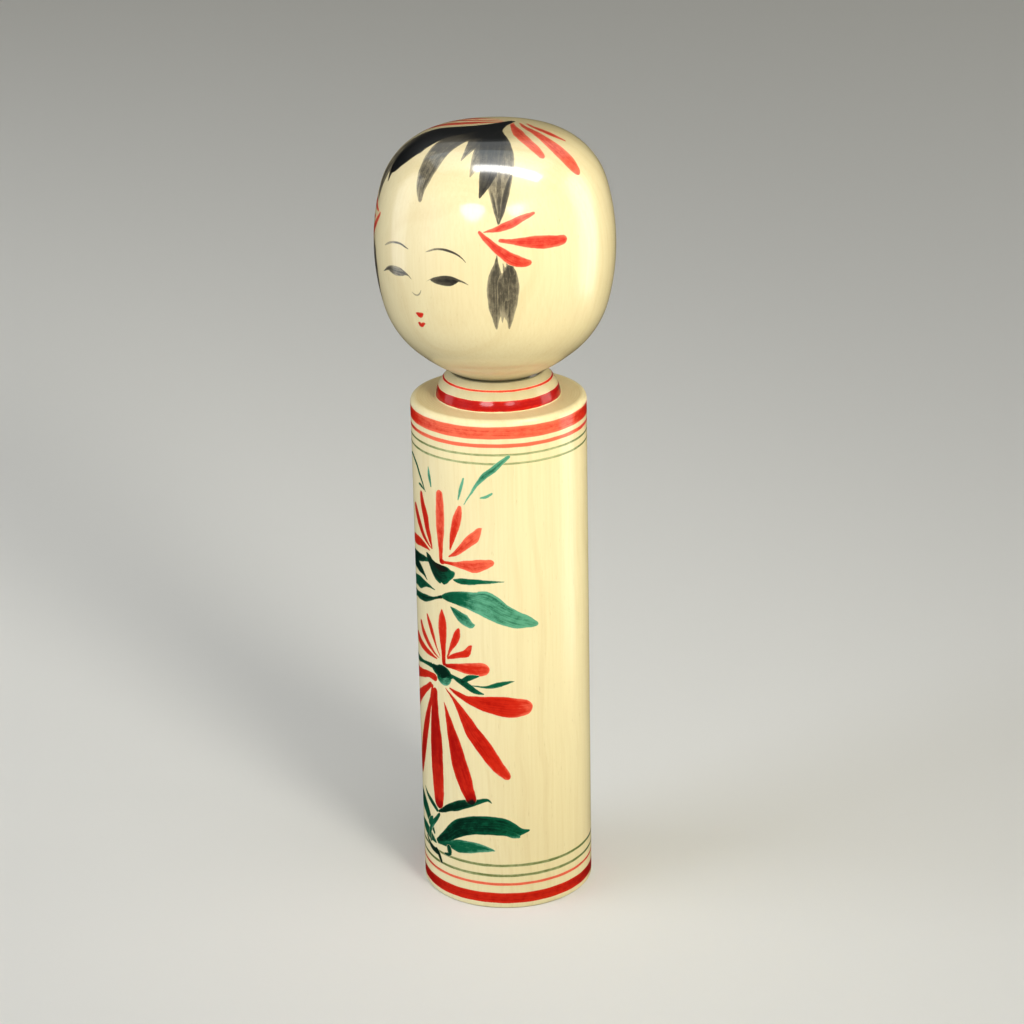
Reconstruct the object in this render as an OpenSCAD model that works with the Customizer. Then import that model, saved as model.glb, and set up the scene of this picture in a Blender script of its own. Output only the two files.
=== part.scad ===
// Kokeshi doll in two turned pieces of wood: a barrel body with a rounded collar, and a head
// whose tenon is driven into the body, where a bead holds it, so that the head can be turned.
// Millimetres. The origin is the centre of the base, +Z is up and the painted front faces -Y.

/* [Body] */
// Diameter of the barrel
body_d = 40; // [34:0.5:48]
// Height of the shoulder above the base
shoulder_h = 120.6; // [90:0.2:150]
// Rounding of the shoulder's outer edge
shoulder_round = 1.3; // [0.4:0.1:2.5]
// Easing of the base's outer edge
foot_round = 0.5; // [0.2:0.1:2]

/* [Collar] */
// Diameter of the collar where it meets the shoulder
collar_d = 28.4; // [24:0.2:34]
// Diameter of the collar's flat top
collar_top_d = 21.4; // [19.4:0.2:24]
// Height of the collar above the shoulder
collar_h = 5.8; // [4:0.1:8]
// Radius of the collar's rounded side
collar_round = 7.9; // [6.5:0.1:14]

/* [Neck joint] */
// Step in from the edge of the collar's top to the neck above it
neck_step = 0.2; // [0.1:0.05:0.5]
// Height of the neck's straight side, which shows between the collar and the head
neck_h = 0.3; // [0.2:0.1:3]
// Diameter of the tenon under the neck
tenon_d = 14; // [11:0.5:17]
// Length of the tenon below the neck
tenon_l = 14; // [8:0.5:24]
// Running clearance between the tenon and its socket, on the radius
run_gap = 0.05; // [0.02:0.01:0.1]
// Gap between the neck's underside and the collar's top
seat_gap = 0.15; // [0.1:0.05:0.4]
// How far the retaining bead stands proud of the tenon
bead_proud = 0.35; // [0.2:0.05:0.6]
// Radius of the bead's round
bead_round = 1; // [0.8:0.1:1.4]
// Distance from the middle of the bead to the end of the tenon
bead_up = 3; // [2:0.25:5]
// Space all round the bead in its groove
bead_gap = 0.3; // [0.2:0.05:0.5]
// Depth of the socket below the end of the tenon
end_gap = 1.5; // [0.5:0.1:4]
// Chamfer on the end of the tenon and round the socket's mouth
lead_in = 0.6; // [0.3:0.1:1]

/* [Head] */
// Widest diameter of the head
head_d = 53.8; // [44:0.2:64]
// Radius of the nearly flat crown
crown_round = 200; // [60:10:400]
// Radius of the temples, where the crown turns down into the sides
temple_round = 16.8; // [10:0.2:24]
// Radius of the sides of the face
cheek_round = 50.5; // [34:0.5:80]
// Radius of the jaw
jaw_round = 20.6; // [14:0.2:28]
// Radius of the underside, which runs in to the neck
under_round = 42; // [30:1:70]
// Slope of the side where it meets the temples, in degrees from upright
temple_a = 15.6; // [10:0.2:22]
// Slope of the side where it meets the jaw
jaw_a = 15; // [8:0.5:22]
// Slope of the jaw where it meets the underside
under_a = 49; // [40:1:60]

/* [Hidden] */
$fn = 96;

body_r = body_d / 2;
collar_r = collar_d / 2;
collar_top_r = collar_top_d / 2;
collar_top_z = shoulder_h + collar_h;
neck_r = collar_top_r - neck_step;
neck_z = collar_top_z + seat_gap;
tenon_r = tenon_d / 2;
tenon_end_z = neck_z - tenon_l;
socket_r = tenon_r + run_gap;
socket_end_z = tenon_end_z - end_gap;
bead_c = [tenon_r + bead_proud - bead_round, tenon_end_z + bead_up];

// The collar's side is an arc from its foot on the shoulder to the edge of its top. The arc's
// centre lies on the far side of the chord between those two points.
collar_chord = [collar_top_r - collar_r, collar_h];
collar_half = norm(collar_chord) / 2;
collar_c = [collar_r, shoulder_h] + collar_chord / 2
    - sqrt(pow(collar_round, 2) - pow(collar_half, 2))
    * [collar_chord.y, -collar_chord.x] / (2 * collar_half);

// The head's outline is five arcs, each tangent to the next. The side comes first, and the
// others are hung from it: jaw and underside below, temple and crown above.
cheek_x = head_d / 2 - cheek_round;
cheek_to_jaw = (cheek_round - jaw_round) * [cos(jaw_a), -sin(jaw_a)];
jaw_to_under = (jaw_round - under_round) * [cos(under_a), -sin(under_a)];
cheek_to_under = cheek_to_jaw + jaw_to_under;
cheek_to_temple = (cheek_round - temple_round) * [cos(temple_a), sin(temple_a)];

// Direction in which the underside meets the neck. The head's widest level is as high as that
// puts it when the neck shows neck_h of straight side.
neck_a = -acos((neck_r - cheek_x - cheek_to_under.x) / under_round);
widest_z = neck_z + neck_h - cheek_to_under.y - under_round * sin(neck_a);

cheek_c = [cheek_x, widest_z];
jaw_c = cheek_c + cheek_to_jaw;
under_c = cheek_c + cheek_to_under;
temple_c = cheek_c + cheek_to_temple;
crown_c = [0, temple_c.y - sqrt(pow(crown_round - temple_round, 2) - pow(temple_c.x, 2))];

// Direction in which the crown meets the temples
crown_a = atan2(temple_c.y - crown_c.y, temple_c.x);

// Farthest that a flat of the head's outline may lie inside its true arc
arc_sag = 0.02;

// Points along an arc about centre c, from direction a0 up to a1, without the last one
function arc(c, r, a0, a1) =
    let (n = ceil((a1 - a0) / (2 * acos(1 - arc_sag / r))))
    [for (i = [0 : n - 1]) let (a = a0 + (a1 - a0) * i / n) c + r * [cos(a), sin(a)]];

// The barrel, its base edge eased and its shoulder edge rounded
module barrel_outline() {
    translate([0, foot_round])
        square([body_r, shoulder_h - foot_round - shoulder_round]);
    square([body_r - foot_round, foot_round]);
    translate([body_r - foot_round, foot_round])
        circle(foot_round);
    translate([0, shoulder_h - shoulder_round])
        square([body_r - shoulder_round, shoulder_round]);
    translate([body_r - shoulder_round, shoulder_h - shoulder_round])
        circle(shoulder_round);
}

// The collar, one rounded step that is turned in one with the barrel
module collar_outline() {
    intersection() {
        translate(collar_c)
            circle(collar_round);
        translate([0, shoulder_h])
            square([collar_c.x + collar_round, collar_h]);
    }
    translate([0, shoulder_h])
        square([collar_c.x, collar_h]);
}

// The socket that the tenon turns in, with a groove for the bead and a chamfered mouth
module socket_outline() {
    translate([0, socket_end_z])
        square([socket_r, collar_top_z - socket_end_z]);
    translate(bead_c)
        circle(bead_round + bead_gap);
    polygon([
        [0, collar_top_z - lead_in],
        [socket_r, collar_top_z - lead_in],
        [socket_r + lead_in, collar_top_z],
        [0, collar_top_z],
    ]);
}

module body() {
    color("blanchedalmond")
        rotate_extrude()
            difference() {
                union() {
                    barrel_outline();
                    collar_outline();
                }
                socket_outline();
            }
}

// Tenon, bead, neck and head, from the end of the tenon up to the crown
module head_outline() {
    polygon(concat(
        [
            [0, tenon_end_z],
            [tenon_r - lead_in, tenon_end_z],
            [tenon_r, tenon_end_z + lead_in],
            [tenon_r, neck_z],
            [neck_r, neck_z],
        ],
        arc(under_c, under_round, neck_a, -under_a),
        arc(jaw_c, jaw_round, -under_a, -jaw_a),
        arc(cheek_c, cheek_round, -jaw_a, temple_a),
        arc(temple_c, temple_round, temple_a, crown_a),
        arc(crown_c, crown_round, crown_a, 90),
        [[0, crown_c.y + crown_round]]
    ));
    translate(bead_c)
        circle(bead_round);
}

module head() {
    color("antiquewhite")
        rotate_extrude()
            head_outline();
}

body();
head();
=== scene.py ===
import math
from collections import namedtuple

import bmesh
import bpy
import numpy as np
from mathutils import Matrix, Vector


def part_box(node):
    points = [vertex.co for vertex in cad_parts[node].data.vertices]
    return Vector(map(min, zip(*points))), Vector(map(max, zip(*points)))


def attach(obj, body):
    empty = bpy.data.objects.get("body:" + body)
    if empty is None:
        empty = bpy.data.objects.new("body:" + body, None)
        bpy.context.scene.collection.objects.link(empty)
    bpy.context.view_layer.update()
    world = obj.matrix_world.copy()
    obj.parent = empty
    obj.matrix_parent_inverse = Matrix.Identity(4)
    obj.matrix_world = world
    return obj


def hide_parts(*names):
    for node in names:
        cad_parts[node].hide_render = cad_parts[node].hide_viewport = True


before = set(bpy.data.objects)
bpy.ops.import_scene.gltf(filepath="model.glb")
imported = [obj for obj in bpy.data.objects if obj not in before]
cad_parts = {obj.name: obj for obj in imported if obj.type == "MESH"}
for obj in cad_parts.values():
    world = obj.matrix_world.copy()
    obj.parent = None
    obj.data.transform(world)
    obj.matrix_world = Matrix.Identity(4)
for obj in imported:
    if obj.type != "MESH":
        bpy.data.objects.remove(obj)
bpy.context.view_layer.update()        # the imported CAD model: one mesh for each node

MM = 0.001

# ------------------------------
# Camera

VIEW_SIDE = math.radians(45)        # the camera stands this far round to the doll's left
CAMERA_OUT = 611.4                  # from the doll's axis, along the floor
CAMERA_UP = 321.7
CAMERA_YAW = math.radians(0.24)
CAMERA_PITCH = math.radians(20.61)
CAMERA_ROLL = math.radians(-1.15)
LENS = 100
SENSOR = 36


def add_object(name, data):
    made = bpy.data.objects.new(name, data)
    bpy.context.scene.collection.objects.link(made)
    return made


def make_camera():
    data = bpy.data.cameras.new("camera")
    data.lens = LENS
    data.sensor_width = SENSOR
    camera = add_object("camera", data)
    camera.matrix_world = (
        Matrix.Rotation(VIEW_SIDE, 4, "Z")
        @ Matrix.Translation(Vector((0, -CAMERA_OUT, CAMERA_UP)) * MM)
        @ Matrix.Rotation(-CAMERA_YAW, 4, "Z")
        @ Matrix.Rotation(math.radians(90) - CAMERA_PITCH, 4, "X")
        @ Matrix.Rotation(CAMERA_ROLL, 4, "Z")
    )
    bpy.context.scene.camera = camera


make_camera()

# ------------------------------
# Sizes, from the frame and the turned profile

body_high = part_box("body")[1] / MM
head_low, head_high = (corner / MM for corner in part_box("head"))

BODY_R = round(body_high.x, 2)
COLLAR_TOP = round(body_high.z, 2)
HEAD_R = round(head_high.x, 2)
HEAD_TOP = round(head_high.z, 2)
TENON_END = round(head_low.z, 2)

SKIN = 0.036                        # the bare wood lies this far inside the CAD surface
PAINT_DEPTH = 0.030                 # the deepest film's face, and the others lie above it
PAINT_ROOT = 0.060                  # each film is rooted in the wood down to here
LAYER = 0.003                       # step from one layer of paint to the next

FOOT_ROUND = 0.5
SHOULDER_ROUND = 1.3
COLLAR_HIGH = 5.8
SHOULDER = COLLAR_TOP - COLLAR_HIGH
COLLAR_R = 14.2
COLLAR_TOP_R = 10.7
COLLAR_ROUND = 7.9

NECK_STEP = 0.2
NECK_R = COLLAR_TOP_R - NECK_STEP
SEAT_GAP = 0.15
NECK_LOW = COLLAR_TOP + SEAT_GAP
TENON_R = 7
RUN_GAP = 0.05
END_GAP = 1.5
SOCKET_END = TENON_END - END_GAP
LEAD_IN = 0.6
BEAD_ROUND = 1
BEAD_PROUD = 0.35
BEAD_UP = 3
BEAD_GAP = 0.3
BEAD = Vector((TENON_R + BEAD_PROUD - BEAD_ROUND, TENON_END + BEAD_UP))

CROWN_ROUND = 200
TEMPLE_ROUND = 16.8
CHEEK_ROUND = 50.5
JAW_ROUND = 20.6
UNDER_ROUND = 42
TEMPLE_A = math.radians(15.6)       # slope of the side where it meets the temples
JAW_A = math.radians(15)            # and where it meets the jaw
UNDER_A = math.radians(49)          # slope of the jaw where it meets the underside

SEGMENTS = 288                      # sides of a turned surface
SHARP = math.radians(32)            # an edge that turns by more than this stays sharp


def polar(radius, angle):
    return Vector((radius * math.cos(angle), radius * math.sin(angle)))


# The head's arcs hang from the centre of the cheek's arc, which is at the widest level.
to_temple = polar(CHEEK_ROUND - TEMPLE_ROUND, TEMPLE_A)
to_jaw = polar(CHEEK_ROUND - JAW_ROUND, -JAW_A)
to_under = to_jaw + polar(JAW_ROUND - UNDER_ROUND, -UNDER_A)
temple_x = HEAD_R - CHEEK_ROUND + to_temple.x
to_crown = to_temple.y - math.sqrt((CROWN_ROUND - TEMPLE_ROUND) ** 2 - temple_x ** 2)

CHEEK = Vector((HEAD_R - CHEEK_ROUND, HEAD_TOP - CROWN_ROUND - to_crown))
TEMPLE = CHEEK + to_temple
JAW = CHEEK + to_jaw
UNDER = CHEEK + to_under
CROWN = Vector((0, CHEEK.y + to_crown))
CROWN_A = math.atan2(TEMPLE.y - CROWN.y, TEMPLE.x)
NECK_A = -math.acos((NECK_R - UNDER.x) / UNDER_ROUND)

# The collar's side is an arc between its foot on the shoulder and the edge of its top.
collar_foot = Vector((COLLAR_R, SHOULDER))
collar_edge = Vector((COLLAR_TOP_R, COLLAR_TOP))
collar_chord = collar_edge - collar_foot
COLLAR = (collar_foot + collar_edge) / 2 - math.sqrt(
    COLLAR_ROUND ** 2 - collar_chord.length_squared / 4
) * Vector((collar_chord.y, -collar_chord.x)).normalized()
COLLAR_A0 = math.atan2(SHOULDER - COLLAR.y, COLLAR_R - COLLAR.x)
COLLAR_A1 = math.atan2(COLLAR_TOP - COLLAR.y, COLLAR_TOP_R - COLLAR.x)


def arc(centre, radius, start, end, step=0.5):
    """Points on an arc of the outline, about one every step millimetres."""
    count = max(4, math.ceil(abs(end - start) * radius / step))
    return [centre + polar(radius, start + (end - start) * i / count) for i in range(count + 1)]


def line(start, end, step=2.5):
    """Points on a straight stretch of the outline."""
    start, end = Vector(start), Vector(end)
    count = max(1, math.ceil((end - start).length / step))
    return [start.lerp(end, i / count) for i in range(count + 1)]


# ------------------------------
# Charts: each takes a place on a flat plan, in millimetres, and a depth, to a point on the wood

FACE_TURN = math.radians(5)         # the head stands turned a little to the doll's left


def turned(angle, radius, height):
    """A point at an angle round the axis, counted from the front towards the doll's left."""
    return Vector((radius * math.sin(angle), -radius * math.cos(angle), height)) * MM


def on_barrel(x, y, depth):
    return turned(x / BODY_R, BODY_R - depth, y)


def on_collar(x, y, depth):
    """Here y runs up the collar's round side from its foot."""
    place = COLLAR + polar(COLLAR_ROUND - depth, COLLAR_A0 + y / COLLAR_ROUND)
    return turned(x / COLLAR_R, place.x, place.y)


def on_cheek(x, y, depth):
    place = CHEEK + polar(CHEEK_ROUND - depth, math.asin((y - CHEEK.y) / CHEEK_ROUND))
    return turned(x / HEAD_R + FACE_TURN, place.x, place.y)


def on_crown(x, y, depth):
    """The plan of the head's top: x to the doll's left and y to the front, along the wood."""
    along = math.hypot(x, y)
    crown_end = CROWN_ROUND * (math.pi / 2 - CROWN_A)
    temple_end = crown_end + TEMPLE_ROUND * (CROWN_A - TEMPLE_A)
    if along < crown_end:
        place = CROWN + polar(CROWN_ROUND - depth, math.pi / 2 - along / CROWN_ROUND)
    elif along < temple_end:
        place = TEMPLE + polar(TEMPLE_ROUND - depth, CROWN_A - (along - crown_end) / TEMPLE_ROUND)
    else:
        place = CHEEK + polar(CHEEK_ROUND - depth, TEMPLE_A - (along - temple_end) / CHEEK_ROUND)
    return turned(math.atan2(x, y) + FACE_TURN, place.x, place.y)


# ------------------------------
# Mesh making


def finish_mesh(name, points, faces, layers):
    """A smooth-shaded object whose hard edges stay sharp, with one attribute for each layer."""
    mesh = bpy.data.meshes.new(name)
    mesh.from_pydata(points, [], faces)
    for title, values in layers.items():
        attribute = mesh.attributes.new(title, "FLOAT_VECTOR", "POINT")
        attribute.data.foreach_set("vector", [number for value in values for number in value])
    work = bmesh.new()
    work.from_mesh(mesh)
    bmesh.ops.recalc_face_normals(work, faces=work.faces)
    work.to_mesh(mesh)
    work.free()
    mesh.polygons.foreach_set("use_smooth", [True] * len(mesh.polygons))
    mesh.set_sharp_from_angle(angle=SHARP)
    return add_object(name, mesh)


def revolve(name, outline, mark):
    """A solid of revolution. The outline starts and ends on the axis, and mark tells of a point of it how
    far it is left unpolished and how strongly painted shade darkens it, each from 0 to 1."""
    points = []
    faces = []
    marks = []
    rings = []
    for place in outline:
        on_axis = place.x < 1e-6
        count = 1 if on_axis else SEGMENTS
        rings.append([len(points) + i for i in range(count)])
        for i in range(count):
            points.append(turned(2 * math.pi * i / SEGMENTS, place.x, place.y))
            marks.append((*mark(place), 0))
    for low, high in zip(rings, rings[1:]):
        for i in range(SEGMENTS):
            corners = [
                low[i % len(low)],
                low[(i + 1) % len(low)],
                high[(i + 1) % len(high)],
                high[i % len(high)],
            ]
            corners = list(dict.fromkeys(corners))
            if len(corners) > 2:
                faces.append(corners)
    # the finish attribute holds each point's bareness and its painted shade
    return finish_mesh(name, points, faces, {"finish": marks})


# A brush stroke: its points are (across, up, width). dark gives how strong the colour is, in
# steps spread evenly from the stroke's start to its end, and dry how far its start and end let
# the wood show between the bristles' marks. skew is how far back from the end the right-hand
# edge slants in.
Stroke = namedtuple("Stroke", "points dark dry layer skew")


def stroke(*points, dark=(0.6, 0.6), dry=(0, 0), layer=0, skew=0):
    return Stroke(points, dark, dry, layer, skew)


def mirrored(one):
    points = [(-across, up, width) for across, up, width in one.points]
    return one._replace(points=points, skew=-one.skew)


def both_sides(strokes):
    return [*strokes, *(mirrored(one) for one in strokes)]


def raised(strokes):
    """The same strokes on the topmost layer."""
    return [one._replace(layer=3) for one in strokes]


def smooth_line(points):
    """A function that runs a smooth curve through the points, by distance along them, and the
    whole distance."""
    knots = [0.0]
    for a, b in zip(points, points[1:]):
        knots.append(knots[-1] + math.dist(a[:2], b[:2]))
    last = len(points) - 1
    slopes = []
    for i in range(last + 1):
        a, b = max(i - 1, 0), min(i + 1, last)
        span = knots[b] - knots[a]
        slopes.append([(q - p) / span for p, q in zip(points[a], points[b])])

    def at(distance):
        i = 0
        while i < last - 1 and distance > knots[i + 1]:
            i += 1
        span = knots[i + 1] - knots[i]
        t = min(max((distance - knots[i]) / span, 0), 1)
        h0 = (1 + 2 * t) * (1 - t) ** 2
        h1 = t * (1 - t) ** 2
        h2 = t * t * (3 - 2 * t)
        h3 = t * t * (t - 1)
        ends = zip(points[i], slopes[i], points[i + 1], slopes[i + 1])
        return [h0 * p + h1 * m * span + h2 * q + h3 * n * span for p, m, q, n in ends]

    return at, knots[-1]


def wobble(distance, seed):
    """The unsteady edge that a hand-held brush leaves, about from -1 to 1."""
    return (
        0.5 * math.sin(1.7 * distance + seed)
        + 0.3 * math.sin(4.1 * distance + 2.3 * seed)
        + 0.2 * math.sin(9.7 * distance + 3.1 * seed)
    )


COLUMN = 0.55                       # widest face across a stroke
STATION = 0.45                      # longest face along a stroke
FEWEST_STATIONS = 14                # faces along the shortest stroke
FINEST_TIP = 0.025                  # half the width at the very tip of a stroke
DRY_REACH = 0.45                    # share of a stroke that a dry end takes up
OTHER_EDGE = 40                     # sets one edge's wobble apart from the other's
OVERLAP = 0.5                       # how much darker a crossing is, for each millimetre inside it
RING_SHADE = 0.75                      # painted shade: how much darker a ring's dye is made on the two sides the camera sees edge-on
RING_SHADE_SIDE = math.radians(45)     # and the middle of its lighter side, which faces the camera


def end_share(share, start, end):
    """Dryness at a share of the way along a stroke: start's fades out and end's fades in."""
    return start * max(0, 1 - share / DRY_REACH) + end * max(0, 1 - (1 - share) / DRY_REACH)


def step_share(share, steps):
    """The value at a share of the way through evenly spread steps."""
    place = share * (len(steps) - 1)
    i = min(int(place), len(steps) - 2)
    return steps[i] + (steps[i + 1] - steps[i]) * (place - i)


def cap_share(left, reach):
    """How much of its width a stroke has where left millimetres of it remain."""
    near = min(max(left / reach, 0), 1)
    return math.sqrt(1 - (1 - near) ** 2)


def stroke_rows(one, seed):
    """Rows of (x, y, across, rim, dark, dry, along) over a stroke, from its start to its end."""
    at, length = smooth_line(one.points)
    widest = max(width for _, _, width in one.points)
    columns = 2 * max(2, math.ceil(widest / COLUMN / 2))
    stations = max(FEWEST_STATIONS, math.ceil(length / STATION))
    unsteady = min(0.06, 0.04 * widest)
    first_cap = max(one.points[0][2] / 2, 0.05)
    last_cap = max(one.points[-1][2] / 2, 0.05)
    rows = []
    for i in range(stations + 1):
        distance = length * (1 - math.cos(math.pi * i / stations)) / 2
        share = distance / length
        x, y, width = at(distance)
        ahead = at(min(distance + 0.05, length))
        behind = at(max(distance - 0.05, 0))
        heading = Vector((ahead[0] - behind[0], ahead[1] - behind[1])).normalized()
        side = Vector((-heading.y, heading.x))
        start = cap_share(distance, first_cap)
        dark = step_share(share, one.dark)
        dry = end_share(share, *one.dry)
        halves = []
        for slant, phase in ((-one.skew, 0), (one.skew, OTHER_EDGE)):
            left = length - distance
            cap = start * cap_share(left, last_cap) * min(left / max(slant, 0.01), 1)
            half = cap * (width / 2 + unsteady * wobble(distance, seed + phase))
            halves.append(max(half, FINEST_TIP))
        row = []
        for j in range(columns + 1):
            across = 2 * j / columns - 1
            half = halves[0] if across > 0 else halves[1]
            place = Vector((x, y)) + side * across * half
            rim = half * (1 - abs(across))
            row.append((place.x, place.y, across * half, rim, dark, dry, distance))
        rows.append(row)
    return rows


def ring_rows(low, high, radius, dark, seed):
    """Rows right round the wood for a painted ring between two heights. The dye is made darker on the two
    sides that the camera sees edge-on, as painted shade."""
    columns = 2 * max(1, math.ceil((high - low) / COLUMN / 2))
    middle = (low + high) / 2
    unsteady = min(0.05, 0.06 * (high - low))
    rows = []
    for i in range(2 * SEGMENTS):
        angle = math.pi * i / SEGMENTS
        shaded_dark = dark + RING_SHADE * math.sin(angle - RING_SHADE_SIDE) ** 8
        row = []
        for j in range(columns + 1):
            across = 2 * j / columns - 1
            edge = seed + (OTHER_EDGE if across > 0 else 0)
            waver = 0.6 * math.sin(7 * angle + edge) + 0.4 * math.sin(23 * angle + 2 * edge)
            half = (high - low) / 2 + unsteady * waver
            rim = half * (1 - abs(across))
            height = middle + across * half
            row.append((radius * angle, height, across * half, rim, shaded_dark, 0, radius * angle))
        rows.append(row)
    return rows


def depth_within(points, outline):
    """How far each point lies inside a closed outline, or 0 where it is outside."""
    start = outline
    edge = np.roll(outline, -1, axis=0) - start
    away = points[:, None, :] - start
    with np.errstate(divide="ignore", invalid="ignore"):
        level = away[:, :, 1] / edge[:, 1]
        crosses = (level >= 0) & (level < 1) & (away[:, :, 0] < level * edge[:, 0])
    inside = crosses.sum(1) % 2 == 1
    nearest = (away * edge).sum(2) / np.maximum((edge ** 2).sum(1), 1e-12)
    gap = away - nearest.clip(0, 1)[:, :, None] * edge
    return np.where(inside, np.sqrt((gap ** 2).sum(2)).min(1), 0)


def merge_rims(all_rows):
    """Where strokes of one colour cross, neither shows its edge: each point's distance from
    the rim is taken over all of them together, and the colour deepens where they overlap."""
    plans = [np.array([[cell[:2] for cell in row] for row in rows]) for rows in all_rows]
    outlines = [np.concatenate([plan[:, 0], plan[::-1, -1]]) for plan in plans]
    merged = []
    for rows, plan, own in zip(all_rows, plans, outlines):
        flat = plan.reshape(-1, 2)
        others = np.zeros(len(flat))
        for outline in outlines:
            apart = (outline.min(0) > flat.max(0)).any() or (outline.max(0) < flat.min(0)).any()
            if outline is not own and not apart:
                others = np.maximum(others, depth_within(flat, outline))
        others = others.reshape(plan.shape[:2])
        merged.append([
            [
                (x, y, across, max(rim, other), dark + OVERLAP * min(rim, other, 0.4), dry, along)
                for (x, y, across, rim, dark, dry, along), other in zip(row, extra)
            ]
            for row, extra in zip(rows, others)
        ])
    return merged


def add_film(build, chart, rows, depth, seed, closed=False):
    """Adds one closed film of paint to a mesh in the making: a face on the wood, a root in it,
    and the sides between them."""
    base = len(build["points"])
    width = len(rows[0])
    for level in (depth, PAINT_ROOT):
        for row in rows:
            for x, y, across, rim, dark, dry, along in row:
                build["points"].append(chart(x, y, level))
                build["grain"].append((along, across, seed))
                build["paint"].append((rim, dark, dry))
    root = len(rows) * width

    def corner(i, j, below=0):
        return base + below * root + (i % len(rows)) * width + j

    steps = len(rows) if closed else len(rows) - 1
    faces = build["faces"]
    for i in range(steps):
        for j in range(width - 1):
            quad = [corner(i, j), corner(i, j + 1), corner(i + 1, j + 1), corner(i + 1, j)]
            faces.append(quad)
            faces.append([c + root for c in reversed(quad)])
        for j in (0, width - 1):
            faces.append([corner(i, j), corner(i + 1, j), corner(i + 1, j, 1), corner(i, j, 1)])
    if not closed:
        for i in (0, len(rows) - 1):
            for j in range(width - 1):
                faces.append(
                    [corner(i, j), corner(i, j + 1), corner(i, j + 1, 1), corner(i, j, 1)]
                )


def new_build():
    return {"points": [], "faces": [], "grain": [], "paint": []}


Dye = namedtuple("Dye", "material body slot")


def finish_build(name, build, dye):
    layers = {"grain": build["grain"], "paint": build["paint"]}
    made = finish_mesh(name, build["points"], build["faces"], layers)
    made.data.materials.append(dye.material)
    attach(made, dye.body)


def stroke_seeds(name, count):
    """A number for each stroke of a piece, which sets its wobble and its bristles' marks apart."""
    return [len(name) + 1.37 * number for number in range(count)]


def paint(name, chart, strokes, dye, turn_radius=0):
    """A piece made of brush strokes. turn_radius is the radius on which the strokes' across
    values are angles, in degrees, or 0 where they are millimetres."""
    build = new_build()
    scale = math.radians(turn_radius) if turn_radius else 1
    seeds = stroke_seeds(name, len(strokes))
    all_rows = []
    for one, seed in zip(strokes, seeds):
        points = [(across * scale, up, width) for across, up, width in one.points]
        all_rows.append(stroke_rows(one._replace(points=points), seed))
    for number, rows in enumerate(merge_rims(all_rows)):
        depth = PAINT_DEPTH - LAYER * (strokes[number].layer + number / len(strokes))
        add_film(build, chart, rows, depth, seeds[number])
    finish_build(name, build, dye)


def paint_rings(name, chart, radius, dye, *rings):
    """A piece made of rings drawn on the turning wood. Each is (low, high, dark)."""
    build = new_build()
    for (low, high, dark), seed in zip(rings, stroke_seeds(name, len(rings))):
        rows = ring_rows(low, high, radius, dark, seed)
        add_film(build, chart, rows, PAINT_DEPTH, seed, closed=True)
    finish_build(name, build, dye)


# ------------------------------
# Materials


def add_node(tree, kind, sockets=None, **settings):
    made = tree.nodes.new(kind)
    for name, value in settings.items():
        setattr(made, name, value)
    for key, value in (sockets or {}).items():
        if isinstance(value, bpy.types.NodeSocket):
            tree.links.new(value, made.inputs[key])
        else:
            made.inputs[key].default_value = value
    return made


def maths(tree, operation, *values, clamp=False):
    sockets = dict(enumerate(values))
    made = add_node(tree, "ShaderNodeMath", sockets, operation=operation, use_clamp=clamp)
    return made.outputs[0]


def ramped(tree, value, low, high, start=0.0, end=1.0):
    """value taken smoothly from start to end as it goes from low to high."""
    sockets = {"Value": value, "From Min": low, "From Max": high, "To Min": start, "To Max": end}
    return add_node(
        tree, "ShaderNodeMapRange", sockets, interpolation_type="SMOOTHSTEP"
    ).outputs[0]


def mixed(tree, share, first, second):
    sockets = {0: share, 6: first, 7: second}
    return add_node(tree, "ShaderNodeMix", sockets, data_type="RGBA").outputs[2]


def noise(tree, vector, scale, detail=2, roughness=0.5):
    sockets = {"Vector": vector, "Scale": scale, "Detail": detail, "Roughness": roughness}
    return add_node(tree, "ShaderNodeTexNoise", sockets).outputs[0]


def stretched(tree, vector, scale):
    made = add_node(tree, "ShaderNodeVectorMath", {0: vector, 1: scale}, operation="MULTIPLY")
    return made.outputs[0]


def varied(tree, value, texture, amount):
    """value, moved up and down by a texture that runs from 0 to 1."""
    return maths(tree, "MULTIPLY_ADD", maths(tree, "SUBTRACT", texture, 0.5), amount, value)


def marks_of(tree, name):
    """The three numbers that a mesh's attribute holds at each place."""
    vector = add_node(tree, "ShaderNodeAttribute", attribute_name=name).outputs["Vector"]
    return add_node(tree, "ShaderNodeSeparateXYZ", {0: vector}).outputs


PALE_WOOD = (0.800, 0.690, 0.395, 1)
HONEY_WOOD = (0.660, 0.500, 0.240, 1)
PORE_WOOD = (0.400, 0.270, 0.120, 1)
# dark olive of the painted shade in the seam under the head and on the collar's top
SEAM_SHADE_COLOUR = (0.055, 0.050, 0.022, 1)
RING_PITCH = 2.6                    # width of a year's growth
DRIFT = 9.0                         # how far a year's ring strays from a circle
DRIFT_SCALE = 0.035

# How many marks of each kind a millimetre holds, across the grain both ways and along it
FIBRES = (1.9, 1.9, 0.05)
CLOUDS = (0.07, 0.07, 0.02)
PORES = (4.0, 4.0, 0.35)


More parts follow.
